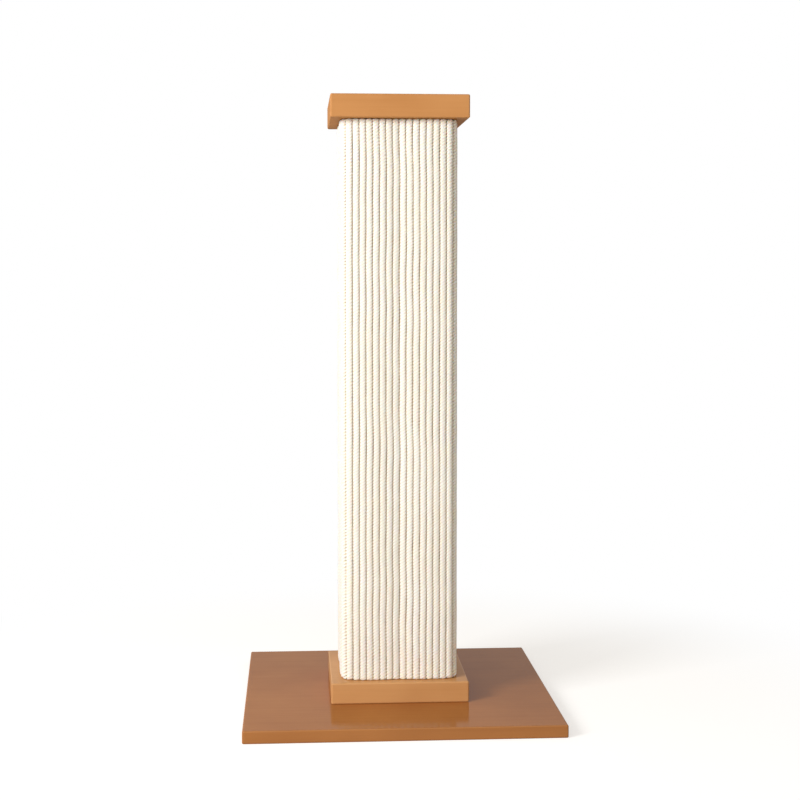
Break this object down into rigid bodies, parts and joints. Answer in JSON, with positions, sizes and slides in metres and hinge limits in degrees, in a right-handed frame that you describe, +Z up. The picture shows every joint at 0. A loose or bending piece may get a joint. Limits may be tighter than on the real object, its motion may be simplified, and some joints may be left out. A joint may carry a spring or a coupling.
{
  "type": "cat scratching post",
  "caption": "Free-standing square scratching post: lengthwise sisal rope on a box post between a wooden collar and cap, bolted to a flat square wooden base.",
  "frame": {"origin": "middle of the base board's underside, on the floor", "axes": "+Z up along the post, front of the post looks along -Y, +X to the right as seen from the front"},
  "size_m": [0.4, 0.4, 0.798],
  "materials": {
    "stained_wood": "stained light brown, satin varnish",
    "core_wood": "planed, bare",
    "dowel_wood": "turned, bare",
    "sisal_rope": "pale cream three-strand sisal, matte",
    "zinc_steel": "bright zinc plate"
  },
  "bodies": {
    "root": {"base_board": "stained_wood", "collar_block": "stained_wood", "cap_block": "stained_wood", "core_front_board": "core_wood", "core_right_board": "core_wood", "core_back_board": "core_wood", "core_left_board": "core_wood", "core_bottom_block": "core_wood", "core_top_block": "core_wood", "rope_front": "sisal_rope", "rope_right": "sisal_rope", "rope_back": "sisal_rope", "rope_left": "sisal_rope", "base_bolts": "zinc_steel", "base_washers": "zinc_steel", "threaded_inserts": "zinc_steel", "collar_dowels": "dowel_wood", "cap_dowels": "dowel_wood", "block_screws": "zinc_steel", "corner_brads": "zinc_steel"}
  },
  "joints": []
}
